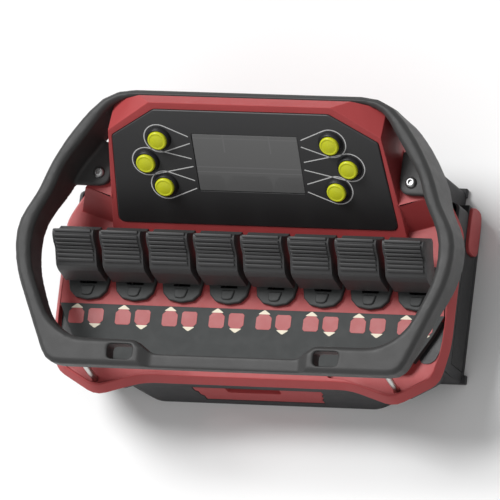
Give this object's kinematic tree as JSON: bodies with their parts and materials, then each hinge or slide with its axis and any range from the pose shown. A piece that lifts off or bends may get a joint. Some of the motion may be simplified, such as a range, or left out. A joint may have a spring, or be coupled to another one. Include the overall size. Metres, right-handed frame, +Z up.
{
  "type": "pendant control station",
  "caption": "Handheld radio control station with a row of ribbed paddle levers, a sloped display panel, round push buttons and a wrap-round guard.",
  "frame": {"origin": "middle of the underside of the overall box, on the table plane", "axes": "+X along the row of levers to the stop-button side, +Y away from the operator, +Z up"},
  "size_m": [0.3712, 0.2344, 0.1509],
  "materials": {
    "housing_red": "satin, lightly grained",
    "housing_grey": "fine grain",
    "guard_grey": "fine grain",
    "label_film": "printed matt film",
    "fascia_black": "matt film",
    "screen_glass": "dim display behind clear glass",
    "button_yellow": "satin",
    "bezel_black": "satin",
    "lever_black": "ribbed, satin",
    "seal_black": "matt",
    "steel": "turned",
    "board_green": "solder resist",
    "can_metal": "satin",
    "contacts": "plated"
  },
  "bodies": {
    "station": {"top_housing": "housing_red", "bottom_housing": "housing_grey", "housing_seal": "seal_black", "guard_frame": "guard_grey", "label_plate": "label_film", "display_fascia": "fascia_black", "display_screen": "screen_glass", "display_board": "board_green", "guard_screw_left": "steel", "guard_screw_right": "steel", "support_rod_left": "steel", "support_rod_right": "steel", "button_bezel_1": "bezel_black", "button_bezel_2": "bezel_black", "button_bezel_3": "bezel_black", "button_bezel_4": "bezel_black", "button_bezel_5": "bezel_black", "button_bezel_6": "bezel_black", "lever_boot_1": "lever_black", "lever_boot_2": "lever_black", "lever_boot_3": "lever_black", "lever_boot_4": "lever_black", "lever_boot_5": "lever_black", "lever_boot_6": "lever_black", "lever_boot_7": "lever_black", "lever_boot_8": "lever_black", "lever_shaft": "steel", "lever_carrier": "lever_black", "main_circuit_board": "board_green", "radio_module": "can_metal", "battery_contacts": "contacts", "side_module": "bezel_black", "housing_screw_1": "steel", "housing_screw_2": "steel", "housing_screw_3": "steel", "housing_screw_4": "steel"},
    "button_cap_1_body": {"button_cap_1": "button_yellow"},
    "button_cap_2_body": {"button_cap_2": "button_yellow"},
    "button_cap_3_body": {"button_cap_3": "button_yellow"},
    "button_cap_4_body": {"button_cap_4": "button_yellow"},
    "button_cap_5_body": {"button_cap_5": "button_yellow"},
    "button_cap_6_body": {"button_cap_6": "button_yellow"},
    "lever_1_body": {"lever_1": "lever_black"},
    "lever_2_body": {"lever_2": "lever_black"},
    "lever_3_body": {"lever_3": "lever_black"},
    "lever_4_body": {"lever_4": "lever_black"},
    "lever_5_body": {"lever_5": "lever_black"},
    "lever_6_body": {"lever_6": "lever_black"},
    "lever_7_body": {"lever_7": "lever_black"},
    "lever_8_body": {"lever_8": "lever_black"},
    "battery_pack_body": {"battery_pack": "housing_red"},
    "stop_button_body": {"stop_button": "housing_red"}
  },
  "joints": [
    {"name": "lever_1_tilt", "type": "hinge", "parent": "station", "child": "lever_1_body", "pos_m": [-0.14, -0.01964, 0.0499], "axis": [1, 0, 0], "range_deg": [-12, 12], "stiffness_Nm_per_rad": 0.5},
    {"name": "lever_2_tilt", "type": "hinge", "parent": "station", "child": "lever_2_body", "pos_m": [-0.1, -0.01964, 0.0499], "axis": [1, 0, 0], "range_deg": [-12, 12], "stiffness_Nm_per_rad": 0.5},
    {"name": "lever_3_tilt", "type": "hinge", "parent": "station", "child": "lever_3_body", "pos_m": [-0.06, -0.01964, 0.0499], "axis": [1, 0, 0], "range_deg": [-12, 12], "stiffness_Nm_per_rad": 0.5},
    {"name": "lever_4_tilt", "type": "hinge", "parent": "station", "child": "lever_4_body", "pos_m": [-0.02, -0.01964, 0.0499], "axis": [1, 0, 0], "range_deg": [-12, 12], "stiffness_Nm_per_rad": 0.5},
    {"name": "lever_5_tilt", "type": "hinge", "parent": "station", "child": "lever_5_body", "pos_m": [0.02, -0.01964, 0.0499], "axis": [1, 0, 0], "range_deg": [-12, 12], "stiffness_Nm_per_rad": 0.5},
    {"name": "lever_6_tilt", "type": "hinge", "parent": "station", "child": "lever_6_body", "pos_m": [0.06, -0.01964, 0.0499], "axis": [1, 0, 0], "range_deg": [-12, 12], "stiffness_Nm_per_rad": 0.5},
    {"name": "lever_7_tilt", "type": "hinge", "parent": "station", "child": "lever_7_body", "pos_m": [0.1, -0.01964, 0.0499], "axis": [1, 0, 0], "range_deg": [-12, 12], "stiffness_Nm_per_rad": 0.5},
    {"name": "lever_8_tilt", "type": "hinge", "parent": "station", "child": "lever_8_body", "pos_m": [0.14, -0.01964, 0.0499], "axis": [1, 0, 0], "range_deg": [-12, 12], "stiffness_Nm_per_rad": 0.5},
    {"name": "button_1_press", "type": "slide", "parent": "station", "child": "button_cap_1_body", "axis": [0, 0.6947, -0.7193], "range_m": [0, 0.0015], "stiffness_N_per_m": 800},
    {"name": "button_2_press", "type": "slide", "parent": "station", "child": "button_cap_2_body", "axis": [0, 0.6947, -0.7193], "range_m": [0, 0.0015], "stiffness_N_per_m": 800},
    {"name": "button_3_press", "type": "slide", "parent": "station", "child": "button_cap_3_body", "axis": [0, 0.6947, -0.7193], "range_m": [0, 0.0015], "stiffness_N_per_m": 800},
    {"name": "button_4_press", "type": "slide", "parent": "station", "child": "button_cap_4_body", "axis": [0, 0.6947, -0.7193], "range_m": [0, 0.0015], "stiffness_N_per_m": 800},
    {"name": "button_5_press", "type": "slide", "parent": "station", "child": "button_cap_5_body", "axis": [0, 0.6947, -0.7193], "range_m": [0, 0.0015], "stiffness_N_per_m": 800},
    {"name": "button_6_press", "type": "slide", "parent": "station", "child": "button_cap_6_body", "axis": [0, 0.6947, -0.7193], "range_m": [0, 0.0015], "stiffness_N_per_m": 800},
    {"name": "stop_press", "type": "slide", "parent": "station", "child": "stop_button_body", "axis": [-1, 0, 0], "range_m": [0, 0.004], "stiffness_N_per_m": 1200},
    {"name": "battery_slide", "type": "slide", "parent": "station", "child": "battery_pack_body", "axis": [0, -1, 0], "range_m": [0, 0.07]}
  ]
}
